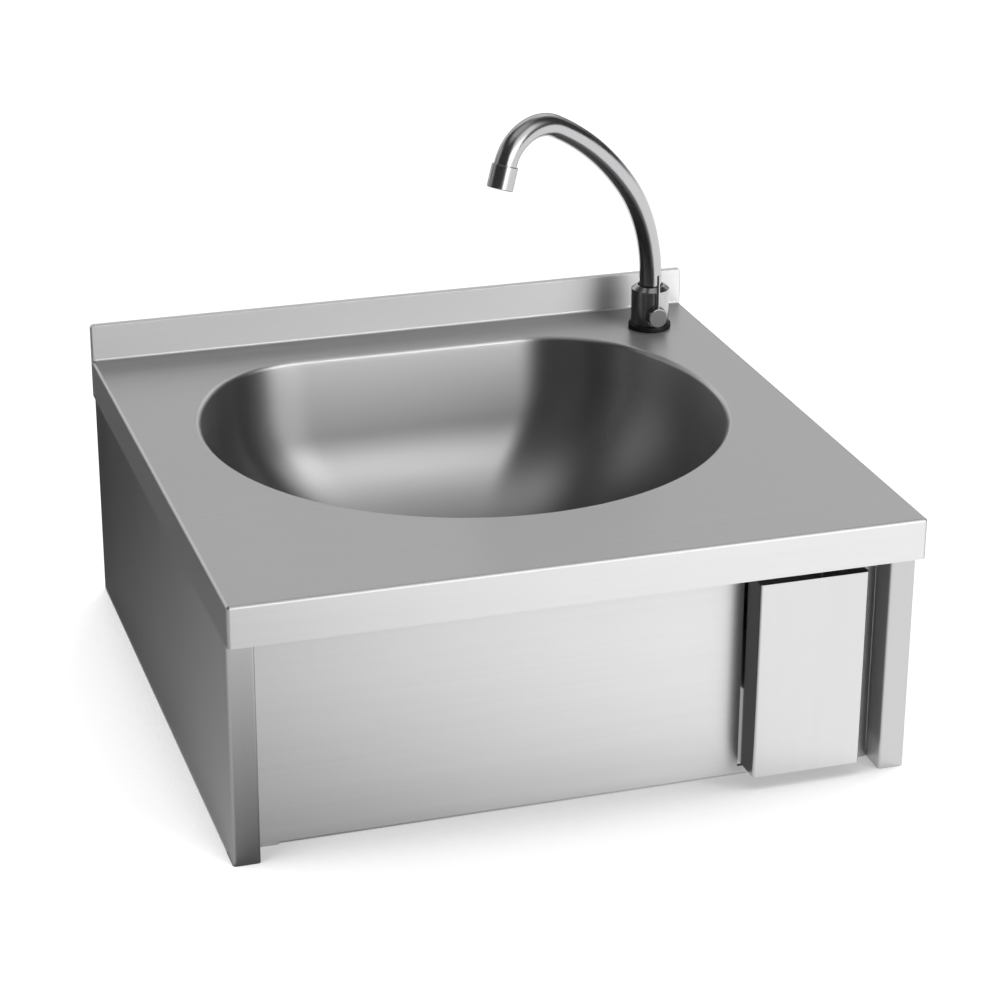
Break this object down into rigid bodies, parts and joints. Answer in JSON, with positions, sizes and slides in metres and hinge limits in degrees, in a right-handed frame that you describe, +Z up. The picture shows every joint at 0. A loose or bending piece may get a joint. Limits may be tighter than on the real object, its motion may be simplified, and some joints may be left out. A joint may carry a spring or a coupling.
{
  "type": "hand basin",
  "caption": "Wall-hung stainless steel hand basin with a round bowl flattened at the back, a low splashback, a swivel swan-neck tap and a knee plate that opens the water.",
  "frame": {"origin": "centre of the four wall-fixing holes, on the wall plane", "axes": "+X to the right seen from the front, +Y into the wall, +Z up"},
  "size_m": [0.5, 0.49, 0.4059],
  "materials": {
    "sheet_steel": "brushed",
    "bowl_steel": "satin",
    "knee_steel": "brushed",
    "plated_steel": "zinc plated",
    "tap_chrome": "polished",
    "brass": "machined",
    "copper": "drawn copper",
    "black_rubber": "matt",
    "nylon": "moulded",
    "waste_steel": "polished",
    "waste_plastic": "moulded"
  },
  "bodies": {
    "basin": {"basin_top": "sheet_steel", "bowl": "bowl_steel", "left_side_panel": "sheet_steel", "right_side_panel": "sheet_steel", "front_panel": "sheet_steel", "fascia_studs": "plated_steel", "fascia_nuts": "plated_steel", "hinge_bracket": "plated_steel", "hinge_pin": "plated_steel", "hinge_clips": "plated_steel", "valve_body": "brass", "valve_gland": "brass", "valve_spring": "plated_steel", "valve_locknut": "brass", "valve_cap": "brass", "inlet_manifold": "brass", "check_valves": "nylon", "supply_pipe": "copper", "pipe_nuts": "brass", "tap_gasket": "black_rubber", "tap_body": "tap_chrome", "tap_washer": "black_rubber", "tap_backnut": "brass", "lever_cartridge": "brass", "spout_bush": "nylon", "waste_flange": "waste_steel", "waste_screw": "waste_steel", "waste_seal_top": "black_rubber", "waste_seal_bottom": "black_rubber", "waste_body": "waste_plastic"},
    "knee": {"knee_plate": "knee_steel", "knee_crossbar": "plated_steel", "push_screw": "plated_steel", "push_locknut": "plated_steel", "hinge_bushes": "nylon"},
    "plunger": {"valve_plunger": "plated_steel", "valve_seal": "black_rubber"},
    "lever": {"lever_knob": "tap_chrome", "lever_pin": "tap_chrome", "lever_spindle": "brass"},
    "spout": {"spout_tube": "tap_chrome", "spout_sleeve": "tap_chrome", "aerator": "nylon"}
  },
  "joints": [
    {"name": "knee_press", "type": "hinge", "parent": "basin", "child": "knee", "pos_m": [0.17, -0.4388, 0.043], "axis": [1, 0, 0], "range_deg": [0, 6], "stiffness_Nm_per_rad": 5, "springref_deg": -5.73},
    {"name": "plunger_slide", "type": "slide", "parent": "basin", "child": "plunger", "axis": [0, 1, 0], "range_m": [0, 0.006], "deforming": ["valve_spring"]},
    {"name": "lever_turn", "type": "hinge", "parent": "basin", "child": "lever", "pos_m": [0.204, -0.055, 0.109], "axis": [0, 1, 0], "range_deg": [0, 90]},
    {"name": "spout_swivel", "type": "hinge", "parent": "basin", "child": "spout", "pos_m": [0.204, -0.055, 0.095], "axis": [0, 0, 1], "range_deg": [-30, 140]}
  ],
  "couplings": [
    {"joint": "plunger_slide", "follows": "knee_press", "m_per_rad": 0.055}
  ]
}
